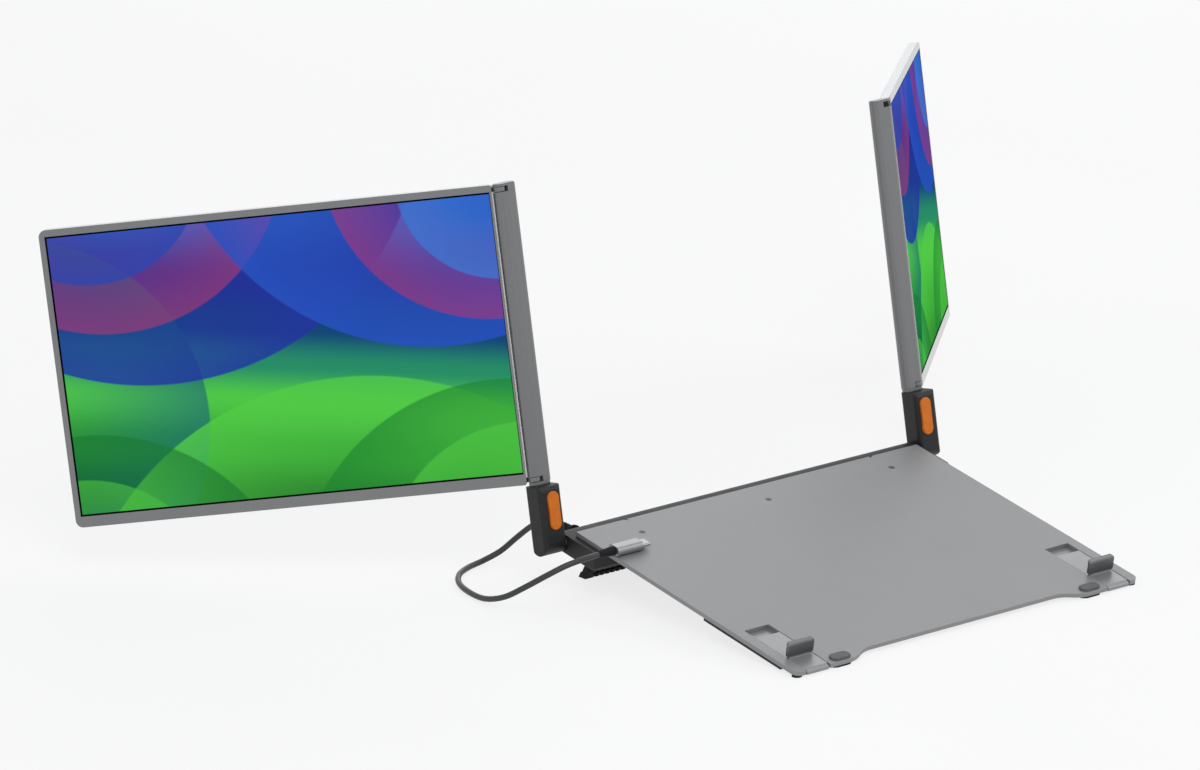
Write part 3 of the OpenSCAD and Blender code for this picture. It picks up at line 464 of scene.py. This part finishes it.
SLEEVE_IN = 3.25 * MM
SLEEVE_OUT = 4.15 * MM
SLEEVE_HALF = 1.55 * MM
SLEEVE_SOFT = 0.3 * MM
SLEEVE_STEPS = 48
CORNER_STEPS = 4
KNUCKLES = {"low": 44.9 * MM, "high": 241.5 * MM}
SLEEVES = (("left", "low"), ("left", "high"), ("right", "low"))


def revolve(name, profile, at, steps):
    """A ring of the closed profile of radii and heights, turned about the Z axis of a frame."""
    mesh = bpy.data.meshes.new(name)
    form = bmesh.new()
    rings = []
    for k in range(steps):
        spin = turn(k * math.tau / steps, "Z")
        rings.append([form.verts.new(at @ spin @ Vector((r, 0, z))) for r, z in profile])
    for k, ring in enumerate(rings):
        after = rings[(k + 1) % steps]
        for i in range(len(profile)):
            j = (i + 1) % len(profile)
            form.faces.new((ring[i], after[i], after[j], ring[j])).smooth = True
    bmesh.ops.recalc_face_normals(form, faces=form.faces)
    form.to_mesh(mesh)
    form.free()
    return mesh


def sleeve_profile():
    """Section of a sleeve: a straight bore and an outer edge rounded above and below."""
    points = [(SLEEVE_IN, SLEEVE_HALF), (SLEEVE_IN, -SLEEVE_HALF)]
    for end in (-1, 1):
        for k in range(CORNER_STEPS + 1):
            angle = math.pi / 2 * (k / CORNER_STEPS + (end - 1) / 2)
            points.append((SLEEVE_OUT - SLEEVE_SOFT + SLEEVE_SOFT * math.cos(angle),
                           end * (SLEEVE_HALF - SLEEVE_SOFT) + SLEEVE_SOFT * math.sin(angle)))
    return points


for side_name, end_name in SLEEVES:
    centre = screen_frame(SIDES[side_name]) @ Matrix.Translation((0, 0, KNUCKLES[end_name]))
    name = side_name + "_sleeve_" + end_name
    ring = add(name, revolve(name, sleeve_profile(), centre, SLEEVE_STEPS), column_alloy,
               side_name + "_screen")

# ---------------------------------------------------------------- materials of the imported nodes

MATERIALS = {
    "base_plate": plate_coat, "top_pads": grey_rubber, "front_feet": black_rubber,
    "slide_guides": beam_plastic, "guide_screws": grey_steel, "rear_beam": beam_plastic,
    "beam_cover": beam_plastic, "plate_screws": grey_steel, "cover_screws": grey_steel,
    "hub_board": board_green, "tilt_pins": steel, "tilt_washers": steel, "leg_pins": steel,
    "cable_gland": black_rubber, "usb_cord": cord_jacket, "strain_relief": black_rubber,
    "plug_shell": plug_alloy, "plug_tip": steel, "kick_leg": leg_coat, "kick_rubber": black_rubber,
    "lip": lip_coat_painted_shade_and_highlight, "lip_pad": grey_rubber, "housing": dark_plastic, "column": column_alloy,
    "cap": column_alloy, "foot": column_alloy, "swing_pins": steel, "barrels": steel,
    "button": orange_plastic, "latch": steel, "cover": cover_alloy, "frame": bezel_alloy,
    "light_guide": guide_white, "driver": board_green, "arms": black_steel,
}

for name, node in NODES.items():
    side, _, rest = name.partition("_")
    kind = rest if side in SIDES else name
    node.data.materials.clear()
    node.data.materials.append(picture(SIDES[side]) if kind == "display" else MATERIALS[kind])

# ---------------------------------------------------------------- floor and light

FLOOR_SIZE = 14
FLOOR_Z = -0.0003
FLOOR_CELLS = 8
FLOOR_GLOW = 0.78
WORLD_TINT = (0.95, 0.97, 1, 1)
WORLD_LIGHT = 0.55

# name, place, target, size and power of each lamp
LAMPS = (
    ("key", (-1.2, -1.6, 2.2), (0, 0, 0.05), 1.4, 24),
    ("fill", (2.2, -1.0, 1.4), (0, 0, 0.1), 1.6, 16),
    ("rim", (1.6, 1.75, 1.45), (0, 0, 0.05), 1.6, 9),
)


def plane(name, size, z):
    """A flat grid at a height."""
    mesh = bpy.data.meshes.new(name)
    form = bmesh.new()
    bmesh.ops.create_grid(form, x_segments=FLOOR_CELLS, y_segments=FLOOR_CELLS, size=size)
    for vertex in form.verts:
        vertex.co.z = z
    form.to_mesh(mesh)
    form.free()
    return mesh


def floor_material():
    """Pale floor: mostly white for the camera and for reflections, and it keeps the shadow."""
    s = Shader("floor")
    tone = s.ramp(s.noise(0.6), [(0.3, (0.86, 0.86, 0.86)), (0.7, (0.9, 0.9, 0.9))])
    s.link(tone, s.base.inputs["Base Color"])
    s.base.inputs["Roughness"].default_value = 0.9
    s.base.inputs["Specular IOR Level"].default_value = 0.1
    glow = s.node("ShaderNodeEmission")
    glow.inputs["Color"].default_value = (1, 1, 1, 1)
    blend = s.node("ShaderNodeMixShader")
    rays = s.node("ShaderNodeLightPath").outputs
    mirrored = s.math("MAXIMUM", rays["Is Glossy Ray"], rays["Is Transmission Ray"])
    seen = s.math("MAXIMUM", rays["Is Camera Ray"], mirrored)
    s.link(s.math("MULTIPLY", seen, FLOOR_GLOW), blend.inputs[0])
    s.link(s.base.outputs[0], blend.inputs[1])
    s.link(glow.outputs[0], blend.inputs[2])
    s.link(blend.outputs[0], s.tree.nodes["Material Output"].inputs["Surface"])
    return s.material


def studio_world():
    """White for the camera and for reflections, and a dimmer light on everything else."""
    world = bpy.data.worlds.new("studio")
    world.use_nodes = True
    tree = world.node_tree
    back = tree.nodes["Background"]
    back.inputs["Color"].default_value = WORLD_TINT
    rays = tree.nodes.new("ShaderNodeLightPath").outputs
    seen = tree.nodes.new("ShaderNodeMath")
    seen.operation = "MAXIMUM"
    level = tree.nodes.new("ShaderNodeMapRange")
    level.inputs["To Min"].default_value = WORLD_LIGHT
    level.inputs["To Max"].default_value = 1.0
    tree.links.new(rays["Is Camera Ray"], seen.inputs[0])
    tree.links.new(rays["Is Glossy Ray"], seen.inputs[1])
    tree.links.new(seen.outputs[0], level.inputs["Value"])
    tree.links.new(level.outputs[0], back.inputs["Strength"])
    return world


def lamp(name, place, target, size, power):
    """A square lamp at a place, turned to a target."""
    data = bpy.data.lights.new(name, "AREA")
    data.size = size
    data.energy = power
    light = bpy.data.objects.new(name, data)
    bpy.context.scene.collection.objects.link(light)
    light.location = place
    light.rotation_euler = (Vector(target) - Vector(place)).to_track_quat("-Z", "Y").to_euler()


floor = bpy.data.objects.new("floor", plane("floor", FLOOR_SIZE, FLOOR_Z))
bpy.context.scene.collection.objects.link(floor)
floor.data.materials.append(floor_material())

bpy.context.scene.world = studio_world()
for lamp_values in LAMPS:
    lamp(*lamp_values)

bpy.context.scene.view_settings.view_transform = "Standard"
